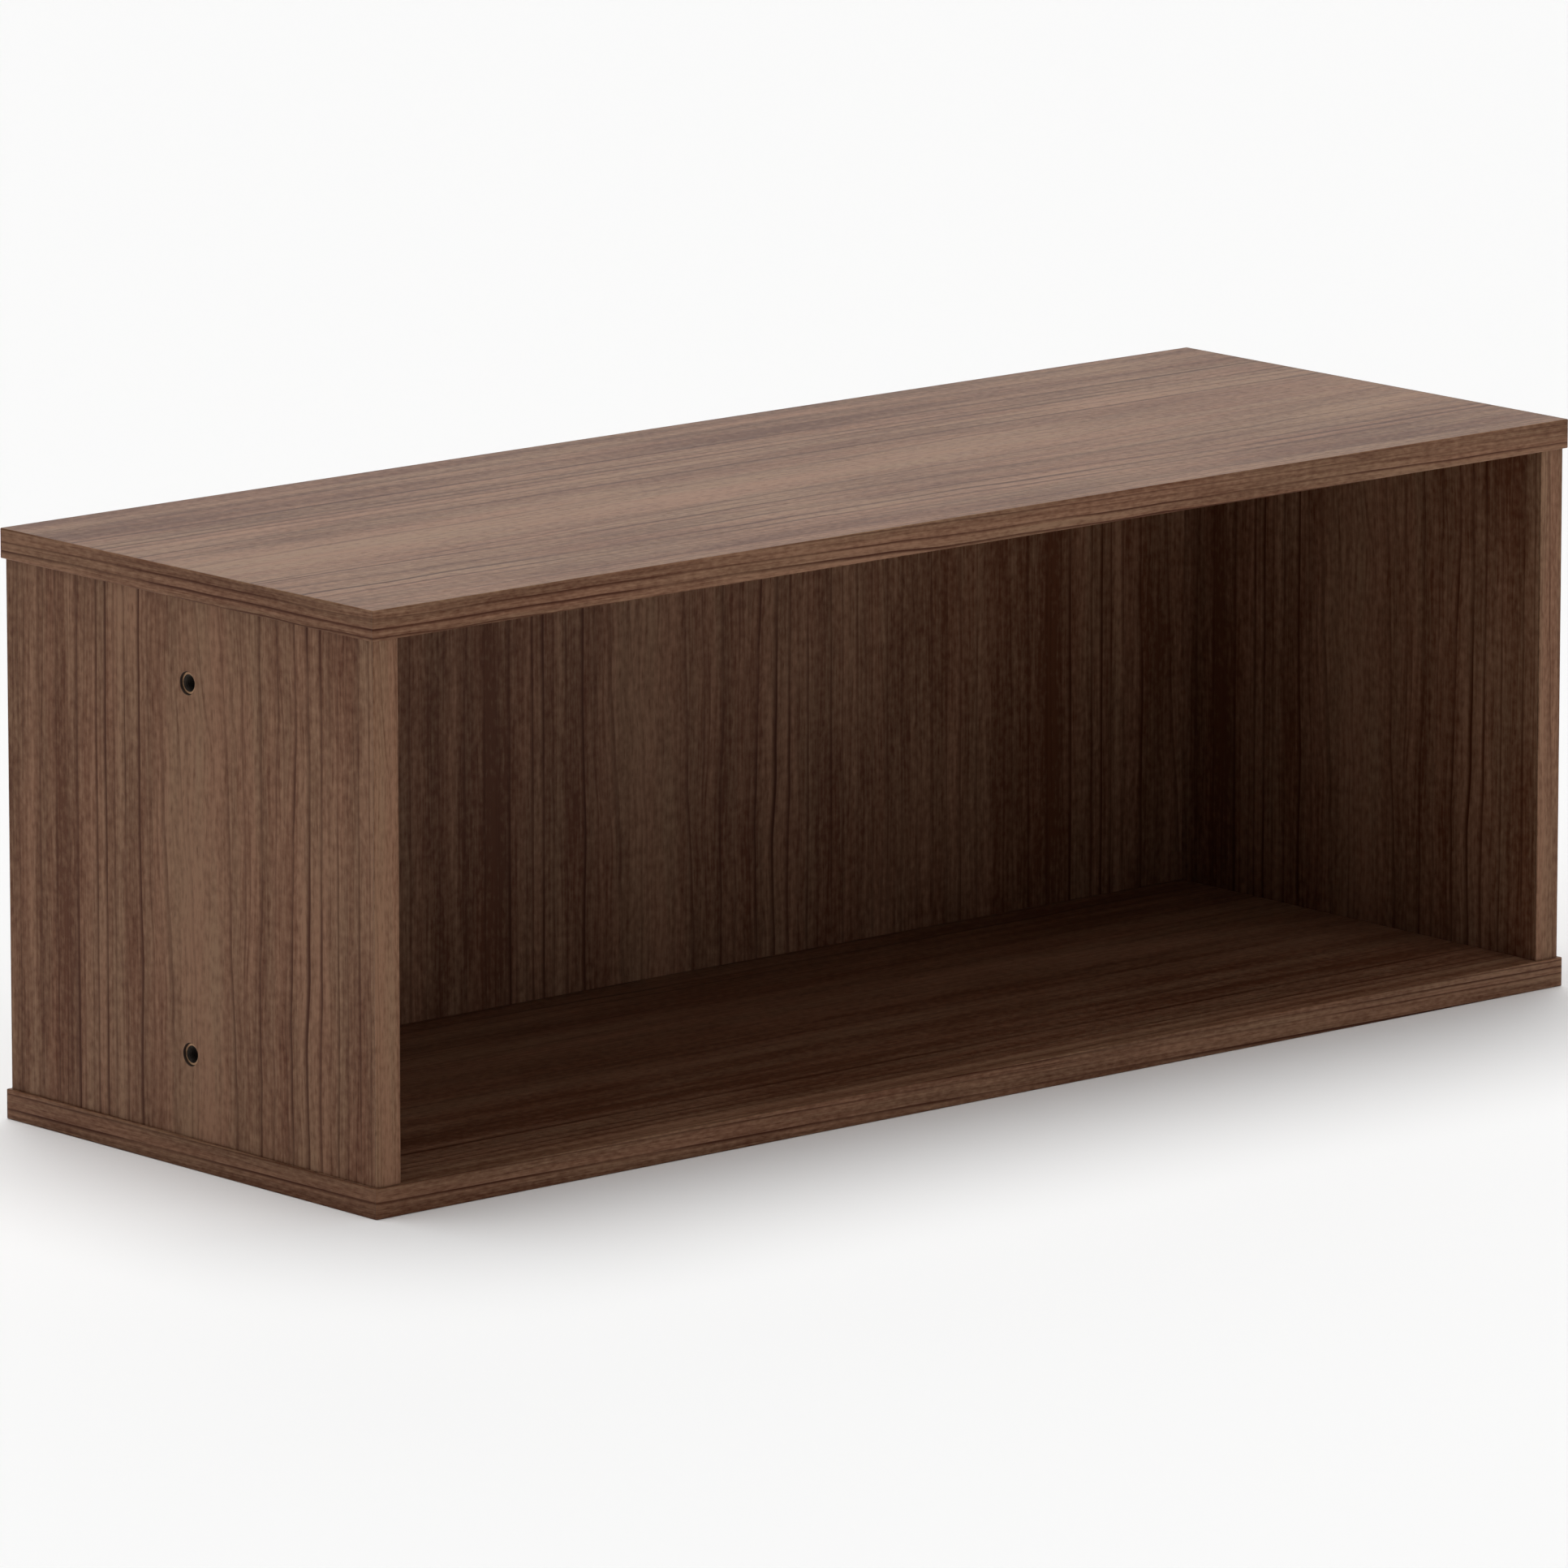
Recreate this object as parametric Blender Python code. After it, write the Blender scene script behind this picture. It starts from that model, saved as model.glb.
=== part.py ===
"""Desk hutch: an open-front cubby box of five laminated boards.

The frame's origin is the middle of the underside, with +X to the right, the open
front towards -Y and +Z up. All lengths are in metres.

Two wide boards stand a little past the sides all round. The sides and a back board of
the same thickness stand between them. Glued dowels hold every joint, thin bands cover
the edges that show, and each side carries two sunk threaded inserts.
"""
import math

import bmesh
import bpy
from mathutils import Matrix, Vector

# Driving dimensions.
WIDTH = 0.840
DEPTH = 0.305
HEIGHT = 0.315
BOARD = 0.016               # thickness of every board
OVERHANG = 0.002            # top and bottom boards past the sides, all round
GAP = 0.0003                # between pieces that touch

# Edge bands.
BAND = 0.001                # thickness
BAND_RADIUS = 0.0006        # of the edges that a hand meets
BAND_STEPS = 2              # flats in each rounded edge

# Fluted dowels, and how deep each end goes into its board.
DOWEL_RADIUS = 0.004
DOWEL_FLUTES = 8
DOWEL_FLUTE_DEPTH = 0.0002
DOWEL_CHAMFER = 0.0008
DOWEL_IN_FACE = 0.0105      # end that sits in a board's flat face
DOWEL_IN_EDGE = 0.0195      # end that sits in a board's edge
DOWEL_CLEARANCE = 0.001     # glue space past each end
SIDE_DOWEL_SETBACK = 0.037  # from a side's front and rear edges
BACK_DOWEL_SETBACK = 0.045  # from the outer faces of the top and bottom boards
BACK_DOWEL_PITCH = 0.240    # along the back's long edges
BACK_DOWEL_COUNT = 4

# Threaded inserts, M8 inside and 12 mm outside.
INSERT_SETBACK = 0.060      # from the outer faces of the top and bottom boards
INSERT_MOUTH_RADIUS = 0.006
INSERT_SUNK = 0.0012        # face of the insert below the board's face
INSERT_LENGTH = 0.0115
INSERT_BORE_RADIUS = 0.0037
INSERT_CHAMFER = 0.0006

ROUND_STEPS = 32            # flats round an insert and its hole
BORE_STEPS = 16             # flats round a dowel hole
CUTTER_REACH = 0.001        # how far a cutter stands out of the face it cuts

# Places that follow from them.
HALF_WIDTH = WIDTH / 2
HALF_DEPTH = DEPTH / 2
EDGE_INSET = BAND + GAP     # a board's own edge, below its band
SIDE_OUTER = HALF_WIDTH - OVERHANG
SIDE_INNER = SIDE_OUTER - BOARD
SIDE_MIDDLE = SIDE_OUTER - BOARD / 2
CASE_FRONT = -HALF_DEPTH + OVERHANG
CASE_REAR = HALF_DEPTH - OVERHANG
BACK_FRONT = CASE_REAR - BOARD
BACK_MIDDLE = CASE_REAR - BOARD / 2
FLOOR = BOARD
CEILING = HEIGHT - BOARD

X_AXIS = Vector((1, 0, 0))
Y_AXIS = Vector((0, 1, 0))
Z_AXIS = Vector((0, 0, 1))


def clear_scene():
    for old in list(bpy.data.objects):
        bpy.data.objects.remove(old, do_unlink=True)


def make_material(name, colour, roughness, metallic=0.0):
    material = bpy.data.materials.new(name)
    material.use_nodes = True
    shader = material.node_tree.nodes["Principled BSDF"]
    shader.inputs["Base Color"].default_value = (*colour, 1.0)
    shader.inputs["Roughness"].default_value = roughness
    shader.inputs["Metallic"].default_value = metallic
    return material


def add_object(name, bm, material=None):
    mesh = bpy.data.meshes.new(name)
    bm.normal_update()
    bm.to_mesh(mesh)
    bm.free()
    obj = bpy.data.objects.new(name, mesh)
    if material:
        mesh.materials.append(material)
    bpy.context.collection.objects.link(obj)
    return obj


def box_mesh(low, high):
    """A box between two corners, with its size in the mesh."""
    low = Vector(low)
    high = Vector(high)
    size = Matrix.Diagonal((high - low).to_4d())
    bm = bmesh.new()
    bmesh.ops.create_cube(bm, size=1.0, matrix=Matrix.Translation((low + high) / 2) @ size)
    return bm


def skin_rings(bm, rings):
    """Quads between neighbouring rings of vertices of equal count."""
    for lower, upper in zip(rings, rings[1:]):
        for i in range(len(lower)):
            j = (i + 1) % len(lower)
            bm.faces.new((lower[i], lower[j], upper[j], upper[i]))


def ring_at(bm, height, radii):
    """A ring of vertices about Z whose distance from it steps through the radii."""
    ring = []
    for i, radius in enumerate(radii):
        angle = 2 * math.pi * i / len(radii)
        ring.append(bm.verts.new((radius * math.cos(angle), radius * math.sin(angle), height)))
    return ring


def stand_along(obj, place, axis):
    """Puts an object modelled about +Z at a place, with its own +Z along the axis."""
    obj.location = place
    obj.rotation_mode = "QUATERNION"
    obj.rotation_quaternion = Z_AXIS.rotation_difference(axis)


def drill(board, holes):
    """Cuts round blind holes, each a (mouth, inward direction, radius, depth, steps)."""
    bm = bmesh.new()
    for mouth, inward, radius, depth, steps in holes:
        middle = mouth + inward * (depth - CUTTER_REACH) / 2
        turn = Z_AXIS.rotation_difference(inward).to_matrix().to_4x4()
        bmesh.ops.create_cone(bm, cap_ends=True, segments=steps, radius1=radius, radius2=radius,
                              depth=depth + CUTTER_REACH, matrix=Matrix.Translation(middle) @ turn)
    cutter = add_object(board.name + "_drill", bm)
    cutter.hide_render = True
    cutter.display_type = "WIRE"
    cut = board.modifiers.new("Drill", "BOOLEAN")
    cut.operation = "DIFFERENCE"
    cut.solver = "EXACT"
    cut.object = cutter


def dowel_joints():
    """Every dowel as (name, point on the joint, direction into the edge, face board, edge board)."""
    joints = []
    side_rows = {
        "front": CASE_FRONT + SIDE_DOWEL_SETBACK,
        "middle": 0.0,
        "rear": CASE_REAR - SIDE_DOWEL_SETBACK,
    }
    levels = {"top": (CEILING, -Z_AXIS), "bottom": (FLOOR, Z_AXIS)}
    for side, sign in (("left", -1), ("right", 1)):
        for level, (height, into_edge) in levels.items():
            for row, y in side_rows.items():
                point = Vector((sign * SIDE_MIDDLE, y, height))
                joints.append((f"dowel_{side}_side_{level}_{row}", point, into_edge,
                               f"{level}_board", f"{side}_side"))
        back_rows = {
            "upper": HEIGHT - BACK_DOWEL_SETBACK,
            "middle": HEIGHT / 2,
            "lower": BACK_DOWEL_SETBACK,
        }
        for row, z in back_rows.items():
            point = Vector((sign * SIDE_INNER, BACK_MIDDLE, z))
            joints.append((f"dowel_back_{side}_{row}", point, -sign * X_AXIS,
                           f"{side}_side", "back_board"))
    for level, (height, into_edge) in levels.items():
        for i in range(BACK_DOWEL_COUNT):
            x = (i - (BACK_DOWEL_COUNT - 1) / 2) * BACK_DOWEL_PITCH
            point = Vector((x, BACK_MIDDLE, height))
            joints.append((f"dowel_back_{level}_{i + 1}", point, into_edge,
                           f"{level}_board", "back_board"))
    return joints


def insert_places():
    """Every insert as (name, centre of its hole's mouth, outward direction, board)."""
    places = []
    heights = {"upper": HEIGHT - INSERT_SETBACK, "lower": INSERT_SETBACK}
    for side, sign in (("left", -1), ("right", 1)):
        for row, z in heights.items():
            mouth = Vector((sign * SIDE_OUTER, 0.0, z))
            places.append((f"insert_{side}_{row}", mouth, sign * X_AXIS, f"{side}_side"))
    return places


def board_drillings(joints, inserts):
    """The holes of each board: every dowel's two ends, and the inserts' seats."""
    drillings = {}
    radius = DOWEL_RADIUS + GAP
    for _, point, into_edge, face_board, edge_board in joints:
        in_face = (point, -into_edge, radius, DOWEL_IN_FACE + DOWEL_CLEARANCE, BORE_STEPS)
        in_edge = (point, into_edge, radius, DOWEL_IN_EDGE + DOWEL_CLEARANCE, BORE_STEPS)
        drillings.setdefault(face_board, []).append(in_face)
        drillings.setdefault(edge_board, []).append(in_edge)
    seat_depth = INSERT_SUNK + INSERT_LENGTH + GAP
    for _, mouth, outward, board in inserts:
        seat = (mouth, -outward, INSERT_MOUTH_RADIUS, seat_depth, ROUND_STEPS)
        drillings.setdefault(board, []).append(seat)
    return drillings


def make_boards(drillings, laminate):
    """The five boards, each short of its neighbours by the gap and drilled for its joints."""
    wide_x = HALF_WIDTH - EDGE_INSET
    wide_y = HALF_DEPTH - EDGE_INSET
    side_front = CASE_FRONT + EDGE_INSET
    side_rear = CASE_REAR - EDGE_INSET
    low_z = FLOOR + GAP
    high_z = CEILING - GAP
    back_x = SIDE_INNER - GAP
    corners = {
        "top_board": ((-wide_x, -wide_y, CEILING), (wide_x, wide_y, HEIGHT)),
        "bottom_board": ((-wide_x, -wide_y, 0.0), (wide_x, wide_y, FLOOR)),
        "left_side": ((-SIDE_OUTER, side_front, low_z), (-SIDE_INNER, side_rear, high_z)),
        "right_side": ((SIDE_INNER, side_front, low_z), (SIDE_OUTER, side_rear, high_z)),
        "back_board": ((-back_x, BACK_FRONT, low_z), (back_x, CASE_REAR, high_z)),
    }
    for name, (low, high) in corners.items():
        board = add_object(name, box_mesh(low, high), laminate)
        drill(board, drillings[name])


def make_band(name, low, high, outward, free_ends, material):
    """A strip glued to a board's edge, with rounded edges on the side away from it.

    Free ends are rounded too. The other ends butt against a neighbour and stay square.
    """
    bm = box_mesh(low, high)
    run = X_AXIS if abs(outward.x) < 0.5 else Y_AXIS
    if abs(high[2] - low[2]) > BOARD * 1.5:
        run = Z_AXIS
    bm.normal_update()
    rounded = []
    for edge in bm.edges:
        normals = [face.normal for face in edge.link_faces]
        glued = any(normal.dot(outward) < -0.5 for normal in normals)
        at_end = any(abs(normal.dot(run)) > 0.5 for normal in normals)
        if not glued and (free_ends or not at_end):
            rounded.append(edge)
    bmesh.ops.bevel(bm, geom=rounded, offset=BAND_RADIUS, offset_type="OFFSET",
                    segments=BAND_STEPS, profile=0.5, affect="EDGES", clamp_overlap=True)
    band = add_object(name, bm, material)
    band.data.shade_smooth()
    band.data.set_sharp_from_angle(angle=math.radians(50))


def make_wide_bands(level, low_z, high_z, material):
    """Four bands round the top or the bottom board: the long ones cover the short ones' ends."""
    short_y = HALF_DEPTH - EDGE_INSET
    for place, sign in (("front", -1), ("rear", 1)):
        ys = sorted((sign * HALF_DEPTH, sign * (HALF_DEPTH - BAND)))
        make_band(f"{level}_band_{place}", (-HALF_WIDTH, ys[0], low_z), (HALF_WIDTH, ys[1], high_z),
                  sign * Y_AXIS, True, material)
    for place, sign in (("left", -1), ("right", 1)):
        xs = sorted((sign * HALF_WIDTH, sign * (HALF_WIDTH - BAND)))
        make_band(f"{level}_band_{place}", (xs[0], -short_y, low_z), (xs[1], short_y, high_z),
                  sign * X_AXIS, False, material)


def make_side_bands(side, sign, material):
    """The upright bands on a side's front and rear edges."""
    xs = sorted((sign * SIDE_OUTER, sign * SIDE_INNER))
    for place, edge, outward in (("front", CASE_FRONT, -1), ("rear", CASE_REAR, 1)):
        ys = sorted((edge, edge - outward * BAND))
        make_band(f"{side}_side_band_{place}", (xs[0], ys[0], FLOOR + GAP),
                  (xs[1], ys[1], CEILING - GAP), outward * Y_AXIS, False, material)


def dowel_mesh():
    """A fluted dowel about Z: the joint is at z = 0 and the edge board is above it."""
    ridge = DOWEL_RADIUS
    groove = DOWEL_RADIUS - DOWEL_FLUTE_DEPTH
    barrel = [ridge, groove] * DOWEL_FLUTES
    tip = [ridge - DOWEL_CHAMFER] * len(barrel)
    bm = bmesh.new()
    rings = [
        ring_at(bm, -DOWEL_IN_FACE, tip),
        ring_at(bm, -DOWEL_IN_FACE + DOWEL_CHAMFER, barrel),
        ring_at(bm, DOWEL_IN_EDGE - DOWEL_CHAMFER, barrel),
        ring_at(bm, DOWEL_IN_EDGE, tip),
    ]
    skin_rings(bm, rings)
    bm.faces.new(list(reversed(rings[0])))
    bm.faces.new(rings[-1])
    return bm


def insert_mesh():
    """A threaded insert about Z, its face at z = 0 and its body below, open right through."""
    outer = INSERT_MOUTH_RADIUS - GAP
    bore = INSERT_BORE_RADIUS
    profile = [
        (outer - INSERT_CHAMFER / 2, 0.0),
        (bore + INSERT_CHAMFER, 0.0),
        (bore, -INSERT_CHAMFER),
        (bore, -INSERT_LENGTH),
        (outer - INSERT_CHAMFER, -INSERT_LENGTH),
        (outer, -INSERT_LENGTH + INSERT_CHAMFER),
        (outer, -INSERT_CHAMFER / 2),
    ]
    bm = bmesh.new()
    rings = [ring_at(bm, height, [radius] * ROUND_STEPS) for radius, height in profile]
    skin_rings(bm, rings + rings[:1])
    bmesh.ops.recalc_face_normals(bm, faces=bm.faces)
    return bm


def main():
    clear_scene()
    laminate = make_material("walnut_laminate", (0.160, 0.092, 0.062), 0.42)
    edging = make_material("walnut_edge_band", (0.150, 0.080, 0.050), 0.40)
    beech = make_material("beech_dowel", (0.620, 0.420, 0.250), 0.70)
    zinc = make_material("insert_zinc", (0.300, 0.240, 0.190), 0.38, 1.0)
    joints = dowel_joints()
    inserts = insert_places()
    make_boards(board_drillings(joints, inserts), laminate)
    make_wide_bands("top", CEILING, HEIGHT, edging)
    make_wide_bands("bottom", 0.0, FLOOR, edging)
    make_side_bands("left", -1, edging)
    make_side_bands("right", 1, edging)
    for name, point, into_edge, _, _ in joints:
        dowel = add_object(name, dowel_mesh(), beech)
        stand_along(dowel, point, into_edge)
    for name, mouth, outward, _ in inserts:
        insert = add_object(name, insert_mesh(), zinc)
        insert.data.shade_smooth()
        insert.data.set_sharp_from_angle(angle=math.radians(30))
        stand_along(insert, mouth - outward * INSERT_SUNK, outward)


main()
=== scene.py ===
"""Looks of the desk hutch: walnut-laminate boards, edge bands, dowels and threaded inserts.

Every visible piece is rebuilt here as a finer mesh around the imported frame, in metres, with
+X to the right, the open front towards -Y and +Z up.
"""
import math

import bmesh
import bpy
from mathutils import Matrix, Vector


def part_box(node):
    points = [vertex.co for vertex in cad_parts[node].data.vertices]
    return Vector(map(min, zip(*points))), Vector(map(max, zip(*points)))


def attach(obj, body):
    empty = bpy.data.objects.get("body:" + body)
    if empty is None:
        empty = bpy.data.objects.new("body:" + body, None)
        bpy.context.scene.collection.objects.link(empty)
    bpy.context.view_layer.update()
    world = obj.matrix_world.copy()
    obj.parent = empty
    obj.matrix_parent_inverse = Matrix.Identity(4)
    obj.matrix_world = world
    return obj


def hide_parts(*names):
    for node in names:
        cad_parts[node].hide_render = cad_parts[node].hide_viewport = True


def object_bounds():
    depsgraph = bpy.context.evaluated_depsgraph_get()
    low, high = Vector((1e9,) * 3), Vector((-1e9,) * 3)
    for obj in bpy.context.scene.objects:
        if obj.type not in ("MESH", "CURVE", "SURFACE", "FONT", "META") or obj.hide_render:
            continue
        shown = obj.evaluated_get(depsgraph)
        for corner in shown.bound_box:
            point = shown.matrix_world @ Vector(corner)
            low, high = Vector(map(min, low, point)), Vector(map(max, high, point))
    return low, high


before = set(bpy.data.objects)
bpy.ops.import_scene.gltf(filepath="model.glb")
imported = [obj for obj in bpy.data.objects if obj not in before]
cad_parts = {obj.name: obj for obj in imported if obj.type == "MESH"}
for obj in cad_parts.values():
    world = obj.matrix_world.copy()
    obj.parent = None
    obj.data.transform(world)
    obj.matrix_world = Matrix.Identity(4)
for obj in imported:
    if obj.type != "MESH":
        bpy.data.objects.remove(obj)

CAD_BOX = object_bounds()

# Fine shapes, in metres.
SEAM = 0.0001               # what stays open where two pieces touch
CAD_GAP = 0.0003            # what the frame leaves there
BAND_RADIUS = 0.0006        # of a band's outer edges
BAND_STEPS = 4              # flats in each rounded edge
SEAT_RADIUS = 0.006         # of the hole an insert sits in
SEAT_LIP = 0.0002           # bevel round its mouth
SEAT_STEPS = 48             # flats round it

# Fluted dowels.
DOWEL_ROOM = 0.0002         # between a dowel and its hole
DOWEL_HOLE_STEPS = 24
DOWEL_FLUTES = 18
STEPS_PER_FLUTE = 4
FLUTE_DEPTH = 0.00025
DOWEL_CHAMFER = 0.0008

# M8 threaded inserts.
THREAD_PITCH = 0.00125
THREAD_OUTER = 0.0040
THREAD_INNER = 0.00335
COARSE_PITCH = 0.0026       # of the outer thread that bites into the board
COARSE_DEPTH = 0.0006
THREAD_FLAT = 0.2           # how broad the flats at a thread's root and crest are
INSERT_STEPS = 64           # flats round an insert
ROWS_PER_TURN = 10          # rows of faces in each turn of a thread
MOUTH_RADIUS = 0.0046       # of the countersink in the insert's face
COLLAR = 0.0008             # plain end of the insert, above its coarse thread

# Colours as they look on screen, from 0 to 255.
UMBER = (94, 58, 39)        # the walnut's dark tones, cool and warm
RUSSET = (97, 58, 38)
STRAW = (144, 111, 86)      # its light tones, cool and warm
TAN = (147, 109, 85)
LINE_BROWN = (72, 36, 19)   # its growth lines and pores
RAW_FLAKES = ((150, 116, 82), (196, 164, 124))          # darkest and palest of the chipboard
RAW_DUST = (112, 82, 56)
SEAT_SHADE_FLAKES = ((48, 30, 20), (66, 43, 29))          # painted shade on the walls of the insert seats
SEAT_SHADE_DUST = (34, 21, 15)
BEECH = ((196, 158, 112), (222, 190, 146))              # darkest and palest, as below
ZINC = ((148, 114, 88), (180, 146, 114))
# painted shade of the insert's bore, darkest and palest
THREAD = ((36, 29, 23), (52, 43, 35))
FLOOR = (0.965, 0.93, 0.915, 1.0)   # linear; warm to match the cool overhead light

X_AXIS = Vector((1, 0, 0))
Y_AXIS = Vector((0, 1, 0))
Z_AXIS = Vector((0, 0, 1))
AXES = {"X": X_AXIS, "Y": Y_AXIS, "Z": Z_AXIS}

BOARDS = {                  # thickness axis of each board
    "top_board": "Z",
    "bottom_board": "Z",
    "left_side": "X",
    "right_side": "X",
    "back_board": "Y",
}
BANDS = [f"{level}_band_{place}" for level in ("top", "bottom")
         for place in ("front", "rear", "left", "right")]
BANDS += [f"{side}_side_band_{place}" for side in ("left", "right")
          for place in ("front", "rear")]
INSERTS = [f"insert_{side}_{row}" for side in ("left", "right") for row in ("upper", "lower")]
DOWELS = sorted(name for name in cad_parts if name.startswith("dowel_"))


# ---------------------------------------------------------------- shader helpers

class Shader:
    """A material's node tree, with short calls for the nodes that the patterns are built of."""

    def __init__(self, name):
        self.material = bpy.data.materials.new(name)
        self.material.use_nodes = True
        self.nodes = self.material.node_tree.nodes
        self.links = self.material.node_tree.links
        self.surface = self.nodes["Principled BSDF"]

    def feed(self, socket, value):
        """Links a socket, or sets a plain value."""
        if isinstance(value, bpy.types.NodeSocket):
            self.links.new(value, socket)
        else:
            socket.default_value = value

    def math(self, operation, *values, clamp=False, name="Math"):
        """A Math node on values or other nodes' outputs, named if it is looked up later."""
        node = self.nodes.new("ShaderNodeMath")
        node.name = name
        node.operation = operation
        node.use_clamp = clamp
        for socket, value in zip(node.inputs, values):
            self.feed(socket, value)
        return node.outputs[0]

    def place(self):
        """The piece's own X, Y and Z, in metres."""
        coordinates = self.nodes.new("ShaderNodeTexCoord")
        split = self.nodes.new("ShaderNodeSeparateXYZ")
        split.name = "Place"
        self.links.new(coordinates.outputs["Object"], split.inputs[0])
        return dict(zip("XYZ", split.outputs))

    def vector(self, x, y, z):
        """A vector of three values or outputs."""
        node = self.nodes.new("ShaderNodeCombineXYZ")
        for socket, value in zip(node.inputs, (x, y, z)):
            self.feed(socket, value)
        return node.outputs[0]

    def smooth(self, value, low, high, to_low=0.0, to_high=1.0):
        """Smoothly maps low..high to to_low..to_high and holds beyond them."""
        node = self.nodes.new("ShaderNodeMapRange")
        node.interpolation_type = "SMOOTHSTEP"
        for socket, number in zip(node.inputs, (value, low, high, to_low, to_high)):
            self.feed(socket, number)
        return node.outputs[0]

    def mix(self, factor, first, second):
        """A colour between the first at factor 0 and the second at factor 1."""
        node = self.nodes.new("ShaderNodeMix")
        node.data_type = "RGBA"
        node.clamp_factor = True
        self.feed(node.inputs["Factor"], factor)
        self.feed(node.inputs[6], first)
        self.feed(node.inputs[7], second)
        return node.outputs[2]

    def cloud(self, scale, detail=2.0):
        """Fine noise through the whole piece, from 0 to 1."""
        coordinates = self.nodes.new("ShaderNodeTexCoord")
        noise = self.nodes.new("ShaderNodeTexNoise")
        noise.inputs["Scale"].default_value = scale
        noise.inputs["Detail"].default_value = detail
        self.links.new(coordinates.outputs["Object"], noise.inputs["Vector"])
        return noise.outputs["Fac"]

    def paint(self, colour, roughness):
        """Sets the colour and the roughness, each from a node or as a plain value."""
        self.feed(self.surface.inputs["Base Color"], colour)
        self.feed(self.surface.inputs["Roughness"], roughness)

    def bump(self, height, distance):
        """Raises the surface by up to a distance, in metres, as a height goes from 0 to 1."""
        node = self.nodes.new("ShaderNodeBump")
        node.inputs["Distance"].default_value = distance
        self.links.new(height, node.inputs["Height"])
        self.links.new(node.outputs[0], self.surface.inputs["Normal"])


def rgb(red, green, blue):
    """A colour given as it looks on screen, from 0 to 255, as the linear RGBA a shader needs."""
    linear = []
    for value in (red, green, blue):
        part = value / 255
        linear.append(part / 12.92 if part <= 0.04045 else ((part + 0.055) / 1.055) ** 2.4)
    return (*linear, 1.0)


# ---------------------------------------------------------------- materials

# The walnut decor is one printed sheet, repeated across the grain. Places are in metres from
# the sheet's edge.
SHEET = 0.406               # width of one repeat
SLANT_FROM = 0.30           # where along the sheet the slanting lines are at the places below
GROWTH_LINES = [            # place across, slant along, width, strength
    (0.0100, 0.000, 0.0008, 0.35),
    (0.0280, 0.004, 0.0010, 0.60),
    (0.0420, 0.000, 0.0010, 0.45),
    (0.0520, 0.000, 0.0008, 0.30),
    (0.0595, 0.000, 0.0014, 1.00),
    (0.0755, 0.000, 0.0010, 0.70),
    (0.0830, 0.000, 0.0011, 0.85),
    (0.0900, 0.000, 0.0009, 0.65),
    (0.0990, 0.003, 0.0009, 0.55),
    (0.1115, 0.004, 0.0012, 0.85),
    (0.1200, 0.010, 0.0008, 0.30),
    (0.1330, 0.042, 0.0015, 0.50),
    (0.1500, 0.040, 0.0010, 0.25),
    (0.1830, 0.045, 0.0013, 0.55),
    (0.1960, 0.022, 0.0009, 0.40),
    (0.2095, 0.004, 0.0012, 0.85),
    (0.2215, -0.012, 0.0010, 0.45),
    (0.2360, -0.008, 0.0011, 0.80),
    (0.2480, 0.000, 0.0014, 1.00),
    (0.2580, 0.000, 0.0011, 0.85),
    (0.2650, 0.003, 0.0008, 0.35),
    (0.2715, 0.000, 0.0009, 0.60),
    (0.2790, 0.000, 0.0008, 0.35),
    (0.2885, 0.000, 0.0010, 0.65),
    (0.2970, 0.000, 0.0008, 0.45),
    (0.3080, 0.005, 0.0010, 0.50),
    (0.3190, 0.000, 0.0008, 0.35),
    (0.3300, 0.000, 0.0010, 0.45),
    (0.3410, -0.006, 0.0009, 0.40),
    (0.3520, 0.000, 0.0008, 0.35),
    (0.3630, 0.006, 0.0010, 0.50),
    (0.3740, 0.000, 0.0008, 0.35),
    (0.3840, 0.000, 0.0011, 0.55),
    (0.3960, 0.000, 0.0009, 0.40),
]
SOFT_STREAKS = [            # place across, half-width, how much lighter
    (0.006, 0.012, -0.16),
    (0.020, 0.006, 0.16),
    (0.030, 0.045, -0.16),
    (0.046, 0.009, -0.26),
    (0.0945, 0.0035, 0.34),
    (0.118, 0.014, -0.12),
    (0.160, 0.034, 0.24),
    (0.204, 0.014, 0.06),
    (0.233, 0.014, -0.10),
    (0.282, 0.016, -0.22),
    (0.330, 0.022, 0.10),
    (0.376, 0.022, -0.22),
]
GRAINS = {                  # noises: how fine across and along the grain, seed, detail
    "wander": (9.0, 3.2, 0.3, 1.0),
    "kink": (34.0, 15.0, 4.1, 1.0),
    "line fade": (60.0, 7.0, 8.8, 1.0),
    "ring drift": (9.0, 2.2, 12.5, 1.0),
    "ring fade": (60.0, 8.0, 15.2, 1.0),
    "tone": (22.0, 4.5, 21.0, 2.0),
    "stripe": (160.0, 4.5, 27.0, 2.0),
    "fibre": (620.0, 30.0, 31.0, 2.0),
    "mottle": (300.0, 190.0, 33.0, 2.0),
    "pore": (1500.0, 110.0, 37.0, 1.0),
    "warmth": (60.0, 5.0, 41.0, 2.0),
}
HEART_START = (0.095, 0.130)            # across the sheet: where the grain starts to wander
HEART_END = (0.235, 0.290)              # and where it stops
WANDER, HEART_WANDER = 0.003, 0.013     # everywhere, and more in the heart
KINK, HEART_KINK = 0.0012, 0.0046
LINE_RISE, LINE_FALL = 2.6, 0.6         # soft and sharp side of a growth line, in its widths
LINE_FADE = (-0.14, 0.10, 0.60, 1.15)   # range of a noise and the strengths that it gives
RINGS_PER_METRE = 260.0
RING_DRIFT = 12.0                       # how far the fine rings drift sideways, in rings
RING_RISE, RING_FALL = (0.45, 0.85), (0.88, 1.0)        # where in its width a ring darkens
RING_CONTRAST = 1.5                     # more makes strong rings rarer
RING_FADE = (-0.12, 0.14, 0.05, 0.50)
TONE = 0.63                             # between the dark tones at 0 and the light ones at 1
TONE_SWING = 1.15                       # how much the broad tones vary it
STRIPE_SWING = 1.0                      # and the finer ones
FIBRE_SWING = 1.25
MOTTLE_SWING = 1.25
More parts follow.
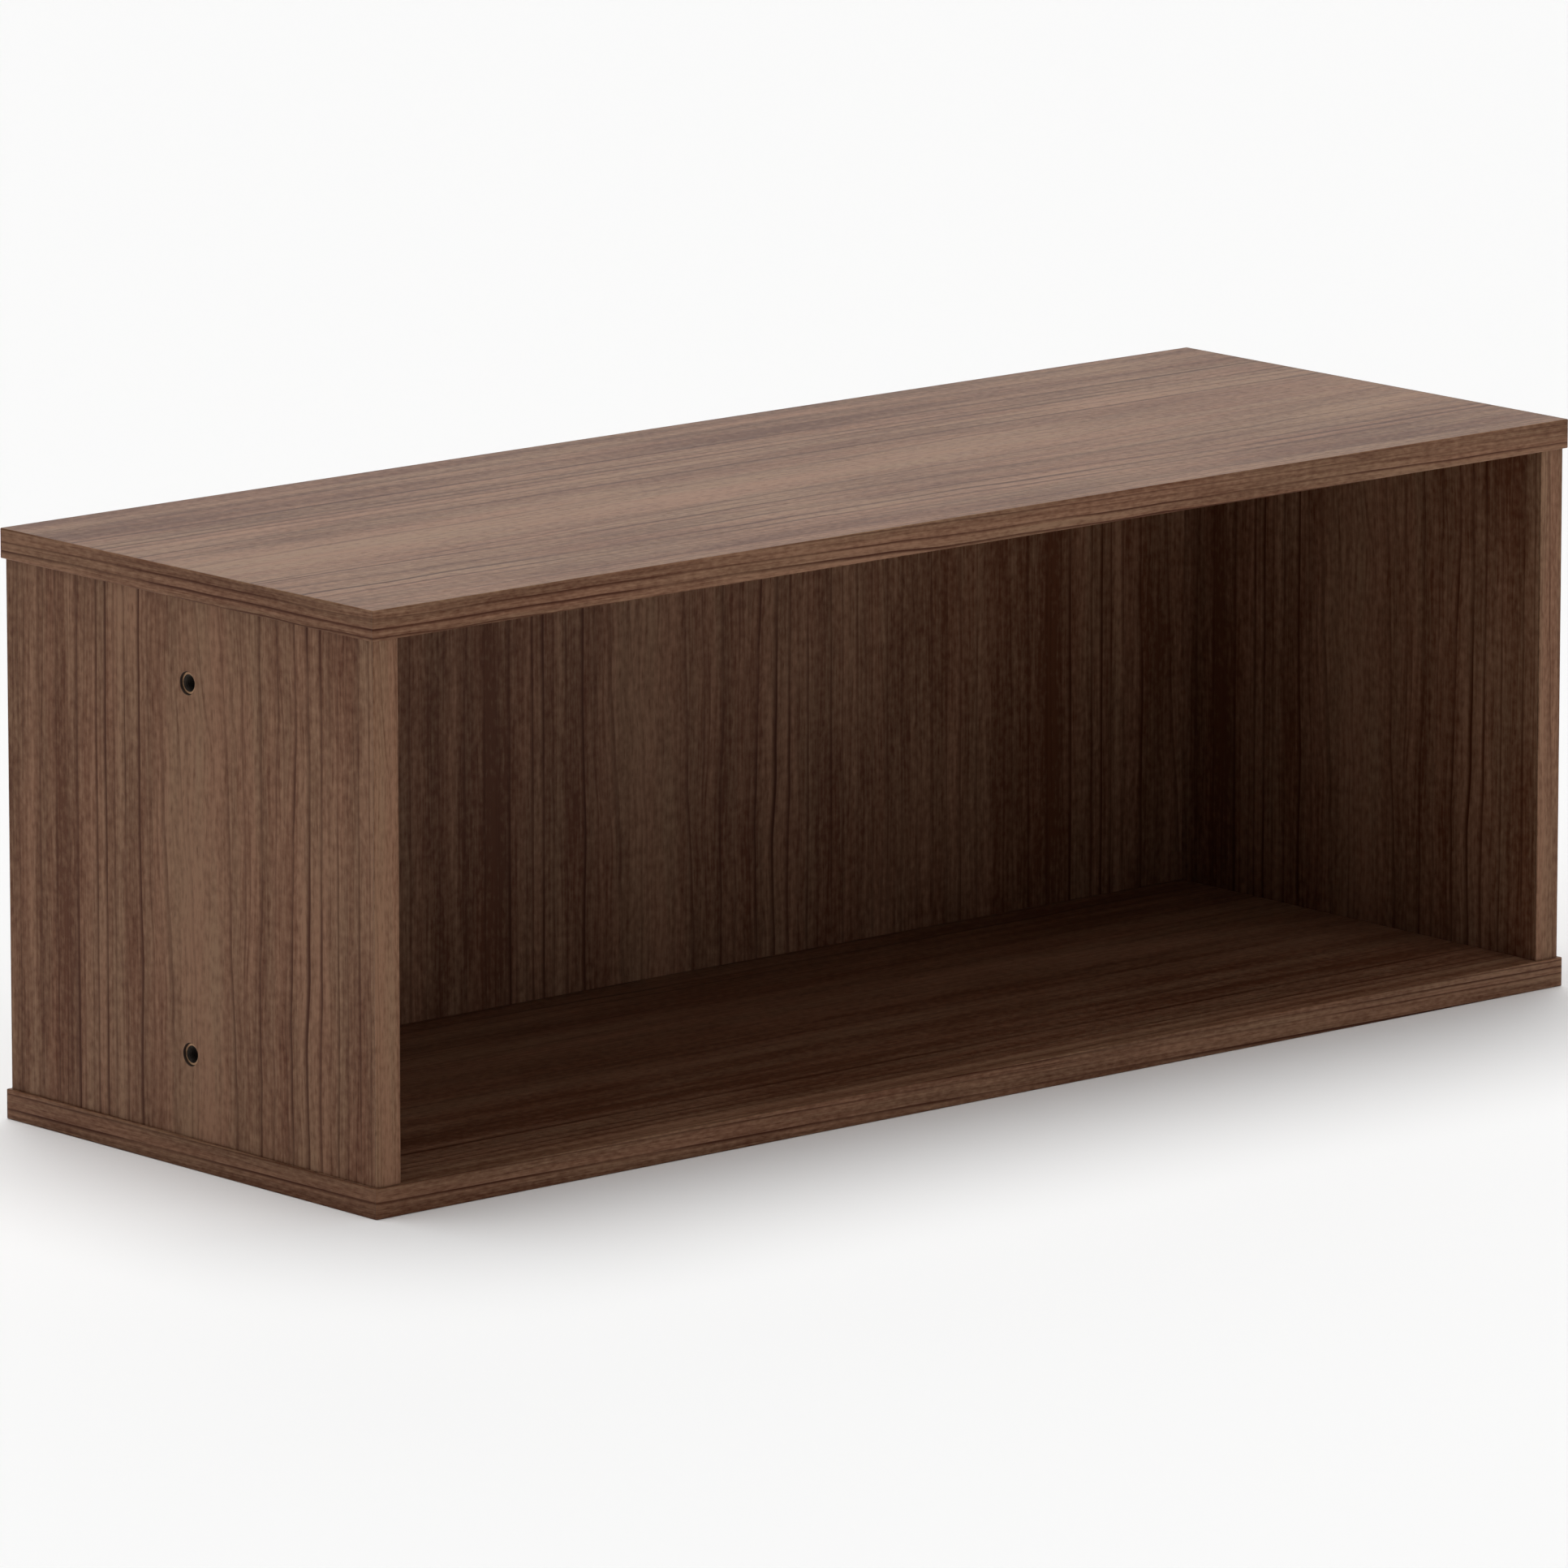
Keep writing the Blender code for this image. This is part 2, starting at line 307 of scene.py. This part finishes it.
PORES = (0.09, 0.22)                    # range of a noise over which a pore opens
PORE_DARKNESS = 0.40
WARMTH = (-0.16, 0.16)                  # range of a noise from cool to warm
ROUGHNESS, FIBRE_ROUGHNESS, PORE_ROUGHNESS = 0.42, 0.12, 0.08
LAMINATE_IOR = 1.18
RELIEF = 0.00003                        # of the fibres pressed into the laminate


def walnut_sheet():
    """The walnut decor as printed. walnut() cuts each piece's material from it."""
    s = Shader("walnut_sheet")
    place = s.place()
    along = s.math("MULTIPLY_ADD", place["X"], 1.0, 0.0, name="Along")
    across = s.math("MULTIPLY_ADD", place["Y"], 1.0, 0.0, name="Across")
    across = s.math("MULTIPLY_ADD", along, 0.0, across, name="Lean")

    def grain(name, at=across):
        """One of GRAINS, about 0 from -0.5 to 0.5."""
        across_scale, along_scale, seed, detail = GRAINS[name]
        node = s.nodes.new("ShaderNodeTexNoise")
        spot = s.vector(s.math("MULTIPLY", at, across_scale),
                        s.math("MULTIPLY", along, along_scale), seed)
        s.links.new(spot, node.inputs["Vector"])
        node.inputs["Scale"].default_value = 1.0
        node.inputs["Detail"].default_value = detail
        return s.math("SUBTRACT", node.outputs["Fac"], 0.5)

    # The grain runs nearly straight at the sheet's edges and wanders in its heart.
    wrapped = s.math("WRAP", across, SHEET, 0.0)
    heart = s.math("MULTIPLY", s.smooth(wrapped, *HEART_START),
                   s.smooth(wrapped, *HEART_END, 1.0, 0.0))
    wander = s.math("MULTIPLY", grain("wander"),
                    s.math("MULTIPLY_ADD", heart, HEART_WANDER, WANDER))
    kink = s.math("MULTIPLY", grain("kink"), s.math("MULTIPLY_ADD", heart, HEART_KINK, KINK))
    bent = s.math("ADD", across, s.math("ADD", wander, kink))
    wrapped = s.math("WRAP", bent, SHEET, 0.0)

    # Growth lines darken slowly and end sharply, and each comes and goes along its length.
    run = s.math("SUBTRACT", along, SLANT_FROM)
    lines = 0.0
    for where, slant, width, strength in GROWTH_LINES:
        centre = s.math("MULTIPLY_ADD", run, slant, where) if slant else where
        off = s.math("SUBTRACT", wrapped, centre)
        edge = s.math("MULTIPLY", s.smooth(off, -LINE_RISE * width, 0.0),
                      s.smooth(off, 0.0, LINE_FALL * width, 1.0, 0.0))
        lines = s.math("MULTIPLY_ADD", edge, strength, lines)
    fade = s.smooth(grain("line fade", bent), *LINE_FADE)
    lines = s.math("MULTIPLY", lines, fade)

    # Finer rings lie between them, each with its own strength.
    count = s.math("MULTIPLY_ADD", grain("ring drift"), RING_DRIFT,
                   s.math("MULTIPLY", bent, RINGS_PER_METRE))
    dice = s.nodes.new("ShaderNodeTexWhiteNoise")
    dice.noise_dimensions = "1D"
    s.feed(dice.inputs["W"], s.math("FLOOR", count))
    part = s.math("FRACT", count)
    fine = s.math("MULTIPLY", s.smooth(part, *RING_RISE),
                  s.smooth(part, *RING_FALL, 1.0, 0.0))
    fine = s.math("MULTIPLY", fine, s.math("POWER", dice.outputs["Value"], RING_CONTRAST))
    fade = s.smooth(grain("ring fade", bent), *RING_FADE)
    fine = s.math("MULTIPLY", fine, fade)

    # Broad tones, soft streaks, stripes, fibres and pores.
    level = s.math("MULTIPLY_ADD", grain("tone", bent), TONE_SWING, TONE, name="Tone")
    for where, half, lighter in SOFT_STREAKS:
        off = s.math("ABSOLUTE", s.math("SUBTRACT", wrapped, where))
        streak = s.smooth(off, half * 0.1, half, 1.0, 0.0)
        level = s.math("MULTIPLY_ADD", streak, lighter, level)
    level = s.math("MULTIPLY_ADD", grain("stripe", bent), STRIPE_SWING, level)
    fibre = grain("fibre", bent)
    level = s.math("MULTIPLY_ADD", fibre, FIBRE_SWING, level)
    level = s.math("MULTIPLY_ADD", grain("mottle"), MOTTLE_SWING, level, clamp=True)
    pore = s.smooth(grain("pore", bent), *PORES)

    warm = s.smooth(grain("warmth", bent), *WARMTH)
    dark = s.mix(warm, rgb(*UMBER), rgb(*RUSSET))
    light = s.mix(warm, rgb(*STRAW), rgb(*TAN))
    colour = s.mix(level, dark, light)
    colour = s.mix(s.math("MAXIMUM", lines, fine), colour, rgb(*LINE_BROWN))
    colour = s.mix(s.math("MULTIPLY", pore, PORE_DARKNESS), colour, rgb(*LINE_BROWN))
    roughness = s.math("MULTIPLY_ADD", fibre, FIBRE_ROUGHNESS, ROUGHNESS)
    s.paint(colour, s.math("MULTIPLY_ADD", pore, PORE_ROUGHNESS, roughness))
    s.bump(s.math("MULTIPLY_ADD", pore, -1.0, fibre), RELIEF)
    s.surface.inputs["IOR"].default_value = LAMINATE_IOR
    return s.material


def walnut(name, sheet, across, along, start, tight=1.0, lean=0.0, painted_darkening=0.0):
    """The sheet's material for one piece.

    across and along are signed axes across the grain and along it, such as "-Y", and start
    is where the hutch's origin lies on the sheet. tight draws the grain closer together,
    lean turns it a little, and the last argument lowers the tone as painted shade.
    """
    material = sheet.copy()
    material.name = name
    nodes, links = material.node_tree.nodes, material.node_tree.links
    for label, axis, spread, offset in (("Across", across, tight, start[0]),
                                        ("Along", along, 1.0, start[1])):
        node = nodes[label]
        sign = -1.0 if axis[0] == "-" else 1.0
        links.new(nodes["Place"].outputs[axis[1]], node.inputs[0])
        node.inputs[1].default_value = sign * spread
        node.inputs[2].default_value = offset
    nodes["Lean"].inputs[1].default_value = lean
    # Painted shade: a lower tone for the boards that face the hutch's dim inside.
    nodes["Tone"].inputs[2].default_value -= painted_darkening
    return material


def chipboard(name, flakes, dust):
    """Particle board: flakes from a dark to a pale tone pressed together, with dust on them. In
    dark tones it serves instead as painted shade on the walls of the insert seats.
    """
    s = Shader(name)
    coordinates = s.nodes.new("ShaderNodeTexCoord")
    cells = s.nodes.new("ShaderNodeTexVoronoi")
    cells.inputs["Scale"].default_value = 900.0
    s.links.new(coordinates.outputs["Object"], cells.inputs["Vector"])
    split = s.nodes.new("ShaderNodeSeparateColor")
    s.links.new(cells.outputs["Color"], split.inputs[0])
    dark, pale = flakes
    colour = s.mix(split.outputs[0], rgb(*dark), rgb(*pale))
    specks = s.cloud(scale=2600.0, detail=3.0)
    s.paint(s.mix(s.smooth(specks, 0.35, 0.65, 0.0, 0.5), colour, rgb(*dust)), 0.85)
    s.bump(specks, 0.0002)
    return s.material


def beech():
    """Raw beech of the dowels, with fine flecks."""
    s = Shader("beech_dowel")
    flecks = s.cloud(scale=700.0, detail=3.0)
    dark, pale = BEECH
    s.paint(s.mix(s.smooth(flecks, 0.3, 0.7), rgb(*dark), rgb(*pale)), 0.7)
    s.bump(flecks, 0.0001)
    return s.material


def dull_zinc():
    """Die-cast zinc alloy, dulled and slightly browned."""
    s = Shader("insert_zinc")
    cloud = s.cloud(scale=500.0, detail=4.0)
    dark, pale = ZINC
    s.paint(s.mix(s.smooth(cloud, 0.3, 0.7), rgb(*dark), rgb(*pale)),
            s.smooth(cloud, 0.3, 0.7, 0.38, 0.55))
    s.surface.inputs["Metallic"].default_value = 1.0
    s.bump(cloud, 0.00006)
    return s.material


def shaded_thread():
    """The insert's inner thread and countersink, coloured nearly black: painted shade in the deep
    bore.
    """
    s = Shader("insert_thread")
    cloud = s.cloud(scale=900.0)
    dark, pale = THREAD
    s.paint(s.mix(s.smooth(cloud, 0.3, 0.7), rgb(*dark), rgb(*pale)), 0.6)
    s.surface.inputs["Metallic"].default_value = 0.6
    return s.material


def pale_floor():
    """Matt and nearly white."""
    s = Shader("pale_floor")
    s.paint(FLOOR, 0.9)
    s.surface.inputs["Specular IOR Level"].default_value = 0.1
    return s.material


# ---------------------------------------------------------------- mesh helpers

def add_object(name, bm, materials=()):
    """Turns a bmesh into an object in the scene."""
    mesh = bpy.data.meshes.new(name)
    bm.normal_update()
    bm.to_mesh(mesh)
    bm.free()
    for material in materials:
        mesh.materials.append(material)
    obj = bpy.data.objects.new(name, mesh)
    bpy.context.scene.collection.objects.link(obj)
    return obj


def box_mesh(low, high):
    """A plain box between two corners, to be cut or rounded further."""
    size = Matrix.Diagonal((high - low).to_4d())
    bm = bmesh.new()
    bmesh.ops.create_cube(bm, size=1.0, matrix=Matrix.Translation((low + high) / 2) @ size)
    return bm


def turned_rings(bm, rings, closed):
    """Quads between neighbouring rings of vertices, and caps unless the rings close up."""
    pairs = list(zip(rings, rings[1:]))
    if closed:
        pairs.append((rings[-1], rings[0]))
    for lower, upper in pairs:
        for i in range(len(lower)):
            j = (i + 1) % len(lower)
            bm.faces.new((lower[i], lower[j], upper[j], upper[i]))
    if not closed:
        bm.faces.new(list(reversed(rings[0])))
        bm.faces.new(rings[-1])


def ring(bm, turn, height, radius_at, steps):
    """A ring of vertices about the turned Z axis, with its radius given for each angle."""
    made = []
    for i in range(steps):
        angle = 2 * math.pi * i / steps
        radius = radius_at(angle)
        made.append(bm.verts.new(
            turn @ Vector((radius * math.cos(angle), radius * math.sin(angle), height))))
    return made


def standing(place, axis):
    """The matrix that takes +Z at the origin to the axis at a place."""
    return Matrix.Translation(place) @ Z_AXIS.rotation_difference(axis).to_matrix().to_4x4()


def round_shading(obj, angle):
    """Smooth shading, with edges sharp where faces meet at more than an angle in degrees."""
    obj.data.shade_smooth()
    obj.data.set_sharp_from_angle(angle=math.radians(angle))


def carve(obj, cutters):
    """Cuts meshes out of an object for good."""
    for bm in cutters:
        cutter = add_object(obj.name + "_cutter", bm)
        cut = obj.modifiers.new("Cut", "BOOLEAN")
        cut.operation = "DIFFERENCE"
        cut.solver = "EXACT"
        cut.object = cutter
        graph = bpy.context.evaluated_depsgraph_get()
        carved = bpy.data.meshes.new_from_object(obj.evaluated_get(graph))
        obj.modifiers.clear()
        old = obj.data
        obj.data = carved
        carved.name = obj.name
        bpy.data.meshes.remove(old)
        bpy.data.objects.remove(cutter, do_unlink=True)


def finish_piece(piece, node):
    """Ties a piece to its body and hides the CAD node that it stands for."""
    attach(piece, "root")
    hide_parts(node)


# ---------------------------------------------------------------- pieces

ALIGNED = 0.9                           # least part of a normal along an axis that it follows
FACE, CORE, SEAT = range(3)             # a board's materials
METAL, DARK = range(2)                  # an insert's materials


def middle_of(node):
    """The middle of a node's box."""
    low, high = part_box(node)
    return (low + high) / 2


def longest_axis(low, high):
    """The letter of the axis along which the box from low to high is longest."""
    return max("XYZ", key=lambda letter: (high - low).dot(AXES[letter]))


def outer_side(low, high):
    """The outward axis of a box on the hutch's left or right, and the X of its outer face."""
    return (X_AXIS, high.x) if low.x > 0 else (-X_AXIS, low.x)


def dowel_size(node):
    """A dowel's axis, half its length and its radius."""
    low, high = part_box(node)
    axis = AXES[longest_axis(low, high)]
    length = (high - low).dot(axis)
    return axis, length / 2, (high - low - axis * length).length / math.sqrt(2) / 2


def dowel_hole(node):
    """The cutter of a dowel's hole, through both boards that it joins."""
    axis, half, radius = dowel_size(node)
    turn = standing(middle_of(node), axis)
    bm = bmesh.new()
    rings = [ring(bm, turn, height, lambda angle: radius + DOWEL_ROOM, DOWEL_HOLE_STEPS)
             for height in (-half - CAD_GAP, half + CAD_GAP)]
    turned_rings(bm, rings, closed=False)
    return bm


def insert_seat(node, outward, mouth_x):
    """The cutter of an insert's seat, with a slight bevel round its mouth at mouth_x."""
    low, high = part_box(node)
    middle = (low + high) / 2
    turn = standing(Vector((mouth_x, middle.y, middle.z)), outward)
    bottom = abs(mouth_x) - min(abs(low.x), abs(high.x)) + CAD_GAP
    profile = [(SEAT_RADIUS, -bottom), (SEAT_RADIUS, -SEAT_LIP),
               (SEAT_RADIUS + SEAT_LIP, 0.0), (SEAT_RADIUS + SEAT_LIP, SEAT_LIP)]
    bm = bmesh.new()
    rings = [ring(bm, turn, height, lambda angle, r=radius: r, SEAT_STEPS)
             for radius, height in profile]
    turned_rings(bm, rings, closed=False)
    return bm


def touches(node, low, high):
    """Whether a node's box reaches into the box from low to high."""
    its_low, its_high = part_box(node)
    return all(its_low[i] < high[i] and its_high[i] > low[i] for i in range(3))


def make_board(node, face_material, core_material, seat_material):
    """A board with its holes, its laminate only on its two broad faces."""
    low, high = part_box(node)
    thin = AXES[BOARDS[node]]
    room = Vector((1, 1, 1)) - thin
    grow = room * (CAD_GAP - SEAM)
    board = add_object(node + "_piece", box_mesh(low - grow, high + grow),
                       [face_material, core_material, seat_material])
    cutters = [dowel_hole(dowel) for dowel in DOWELS if touches(dowel, low, high)]
    seats = [insert for insert in INSERTS if touches(insert, low, high)]
    cutters += [insert_seat(insert, *outer_side(low, high)) for insert in seats]
    carve(board, cutters)
    middles = [middle_of(insert) for insert in seats]
    for face in board.data.polygons:
        on_face = min(abs((face.center - low).dot(thin)), abs((face.center - high).dot(thin)))
        flat = abs(face.normal.dot(thin)) > ALIGNED
        if flat and on_face < SEAM:
            face.material_index = FACE
        # The walls of the insert seats take the painted shade material.
        elif any((face.center - middle).yz.length < SEAT_RADIUS + SEAT_LIP for middle in middles):
            face.material_index = SEAT
        else:
            face.material_index = CORE
    round_shading(board, 30)
    finish_piece(board, node)


def make_band(node, material):
    """An edge band with its long outer edges rounded, and its ends too where they are free."""
    low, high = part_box(node)
    size = high - low
    glued_axis = AXES[min("XYZ", key=lambda letter: size.dot(AXES[letter]))]
    outward = glued_axis if (low + high).dot(glued_axis) > 0 else -glued_axis
    run = AXES[longest_axis(low, high)]
    whole = size.dot(run) > (CAD_BOX[1] - CAD_BOX[0]).dot(run) - SEAM
    grow = run * (0.0 if whole else CAD_GAP - SEAM)
    bm = box_mesh(low - grow, high + grow)
    bm.normal_update()
    rounded = []
    for edge in bm.edges:
        normals = [face.normal for face in edge.link_faces]
        glued = any(normal.dot(outward) < -ALIGNED for normal in normals)
        at_end = any(abs(normal.dot(run)) > ALIGNED for normal in normals)
        if not glued and (whole or not at_end):
            rounded.append(edge)
    bmesh.ops.bevel(bm, geom=rounded, offset=BAND_RADIUS, offset_type="OFFSET",
                    segments=BAND_STEPS, profile=0.5, affect="EDGES", clamp_overlap=True)
    band = add_object(node + "_piece", bm, [material])
    band.data.shade_smooth()
    weighted = band.modifiers.new("Flat faces", "WEIGHTED_NORMAL")
    weighted.keep_sharp = True
    finish_piece(band, node)


def thread_wave(angle, height, pitch):
    """From 0 at a thread's root to 1 at its crest, with a flat at each."""
    turn = (height / pitch - angle / (2 * math.pi)) % 1.0
    slope = 1.0 - abs(2.0 * turn - 1.0)
    return min(1.0, max(0.0, (1.0 + 2.0 * THREAD_FLAT) * slope - THREAD_FLAT))


def make_insert(node, metal, thread):
    """A threaded insert: collar and coarse thread outside, M8 thread and countersink inside."""
    low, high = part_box(node)
    outward, face_x = outer_side(low, high)
    length = high.x - low.x
    outer = (high.y - low.y) / 2
    middle = (low + high) / 2
    turn = standing(Vector((face_x, middle.y, middle.z)), outward)

    def outside(height):
        if height > -COLLAR:
            return lambda angle: outer
        root = outer - COARSE_DEPTH
        depth = COARSE_DEPTH * max(0.0, min(1.0, (length + height) / COARSE_DEPTH))
        return lambda angle: root + depth * thread_wave(angle, height, COARSE_PITCH)

    def inside(height):
        cone = MOUTH_RADIUS + max(height, -length - height)

        def radius_at(angle):
            depth = (THREAD_OUTER - THREAD_INNER) * thread_wave(angle, height, THREAD_PITCH)
            return max(THREAD_INNER + depth, cone)
        return radius_at

    bm = bmesh.new()
    rings = []
    coarse_rows = round(length / COARSE_PITCH * ROWS_PER_TURN)
    for i in range(coarse_rows + 1):
        height = -length + length * i / coarse_rows
        rings.append(ring(bm, turn, height, outside(height), INSERT_STEPS))
    fine_rows = round(length / THREAD_PITCH * ROWS_PER_TURN)
    for i in range(fine_rows + 1):
        height = -length * i / fine_rows
        rings.append(ring(bm, turn, height, inside(height), INSERT_STEPS))
    turned_rings(bm, rings, closed=True)
    bmesh.ops.recalc_face_normals(bm, faces=bm.faces)
    insert = add_object(node + "_piece", bm, [metal, thread])
    # Faces inside the mouth, the countersink and the thread, take the dark material: painted
    # shade in the bore.
    for face in insert.data.polygons:
        off = face.center - middle
        off.x = 0.0
        face.material_index = DARK if off.length < MOUTH_RADIUS else METAL
    round_shading(insert, 40)
    finish_piece(insert, node)


def make_dowel(node, material):
    """A fluted dowel with chamfered ends, inside the size that the frame gives it."""
    axis, half, radius = dowel_size(node)
    turn = standing(middle_of(node), axis)
    steps = DOWEL_FLUTES * STEPS_PER_FLUTE

    def fluted(angle):
        return radius - FLUTE_DEPTH * (0.5 - 0.5 * math.cos(angle * DOWEL_FLUTES))

    def tip(angle):
        return radius - DOWEL_CHAMFER

    bm = bmesh.new()
    rings = [
        ring(bm, turn, -half, tip, steps),
        ring(bm, turn, -half + DOWEL_CHAMFER, fluted, steps),
        ring(bm, turn, half - DOWEL_CHAMFER, fluted, steps),
        ring(bm, turn, half, tip, steps),
    ]
    turned_rings(bm, rings, closed=False)
    dowel = add_object(node + "_piece", bm, [material])
    round_shading(dowel, 30)
    finish_piece(dowel, node)


# ---------------------------------------------------------------- stage

FLOOR_REACH = 40.0          # metres from the middle to the floor's edges
LIGHTS = [                  # name, direction towards it, spread in degrees, strength, colour
    ("overhead", (0.12, 0.24, 1.0), 45, 2.32, (0.95, 1.0, 1.02)),
    ("top_left", (-0.6, 0.1, 1.0), 50, 0.48, (1.0, 1.0, 1.0)),
    ("front", (-0.1, -1.0, 1.5), 50, 0.48, (1.0, 1.0, 1.0)),
    ("front_mid", (0.2, -1.0, 0.6), 60, 0.14, (1.0, 1.0, 1.0)),
    ("front_low", (0.9, -1.0, 0.05), 30, 0.28, (1.0, 1.0, 1.0)),
    ("left_low", (-1.0, -0.2, 0.25), 40, 0.12, (1.0, 1.0, 1.0)),
    ("back_right", (0.65, 0.74, 0.28), 40, 0.37, (1.0, 1.0, 1.0)),
]
SURROUND = (0.95, 0.95, 0.95, 1.0)
LENS, SENSOR_WIDTH = 312.7, 36.0        # millimetres
CAMERA_PLACE = (-4.6898, -5.3590, 1.6097)
CAMERA_AIM = (0.64412, 0.73795, -0.20135)


def add_soft_light(name, direction, spread, strength, colour):
    """A broad soft light from far away: spread is its width as seen from here, in degrees."""
    data = bpy.data.lights.new(name, "SUN")
    data.angle = math.radians(spread)
    data.energy = strength
    data.color = colour
    light = bpy.data.objects.new(name, data)
    light.rotation_mode = "QUATERNION"
    light.rotation_quaternion = (-Vector(direction)).to_track_quat("-Z", "Y")
    bpy.context.scene.collection.objects.link(light)


def make_stage():
    """A plain pale floor, soft studio lights and a pale surround."""
    bm = bmesh.new()
    bmesh.ops.create_grid(bm, x_segments=1, y_segments=1, size=FLOOR_REACH)
    floor = add_object("floor", bm, [pale_floor()])
    floor.location.z = CAD_BOX[0].z - SEAM

    for light in LIGHTS:
        add_soft_light(*light)

    # The surround is only looked at: the lights and the floor do the lighting.
    world = bpy.data.worlds.new("surround")
    world.use_nodes = True
    world.node_tree.nodes["Background"].inputs["Color"].default_value = SURROUND
    bpy.context.scene.world = world
    world.cycles_visibility.diffuse = False
    world.cycles_visibility.glossy = False
    bpy.context.scene.view_settings.view_transform = "Standard"
    bpy.context.scene.view_settings.look = "None"


def make_camera():
    """The long lens of a product shot, from the front left and a little above."""
    data = bpy.data.cameras.new("camera")
    data.lens = LENS
    data.sensor_width = SENSOR_WIDTH
    data.clip_end = 100.0
    camera = bpy.data.objects.new("camera", data)
    camera.location = CAMERA_PLACE
    camera.rotation_mode = "QUATERNION"
    camera.rotation_quaternion = Vector(CAMERA_AIM).to_track_quat("-Z", "Y")
    bpy.context.scene.collection.objects.link(camera)
    bpy.context.scene.camera = camera


# ---------------------------------------------------------------- the hutch

def make_hutch():
    """Every piece of the hutch, each with its part of the walnut sheet or its own material."""
    core = chipboard("chipboard_core", RAW_FLAKES, RAW_DUST)
    # Dark chipboard as painted shade on the walls of the insert seats.
    seat_shade = chipboard("seat_painted_shade", SEAT_SHADE_FLAKES, SEAT_SHADE_DUST)
    sheet = walnut_sheet()
    # The bottom board, the right side and the back get a lower tone: painted shade for the dim
    # inside of the hutch.
    faces = {
        "top_board": walnut("walnut_top", sheet, "-Y", "-X", (0.1525, 0.420)),
        "bottom_board": walnut("walnut_bottom", sheet, "-Y", "-X", (0.3625, 1.300),
                               painted_darkening=0.15),
        "left_side": walnut("walnut_left", sheet, "-Y", "-Z", (0.1505, 0.464)),
        "right_side": walnut("walnut_right", sheet, "-Y", "-Z", (0.1505, 0.464), painted_darkening=0.13),
        "back_board": walnut("walnut_back", sheet, "+X", "-Z", (0.149, 0.464), painted_darkening=0.15),
    }
    for node in BOARDS:
        make_board(node, faces[node], core, seat_shade)

    strips = {
        "X": walnut("walnut_long_band", sheet, "+Z", "+X", (-0.364, 0.420),
                    tight=2.0, lean=0.022),
        "Y": walnut("walnut_short_band", sheet, "+Z", "+Y", (-0.364, 0.150),
                    tight=2.0, lean=0.022),
        "Z": walnut("walnut_upright_band", sheet, "+X", "-Z", (0.986, 0.464), tight=2.0),
    }
    for node in BANDS:
        make_band(node, strips[longest_axis(*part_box(node))])
    bpy.data.materials.remove(sheet)

    metal, thread = dull_zinc(), shaded_thread()
    for node in INSERTS:
        make_insert(node, metal, thread)
    wood = beech()
    for node in DOWELS:
        make_dowel(node, wood)


make_hutch()
make_stage()
make_camera()
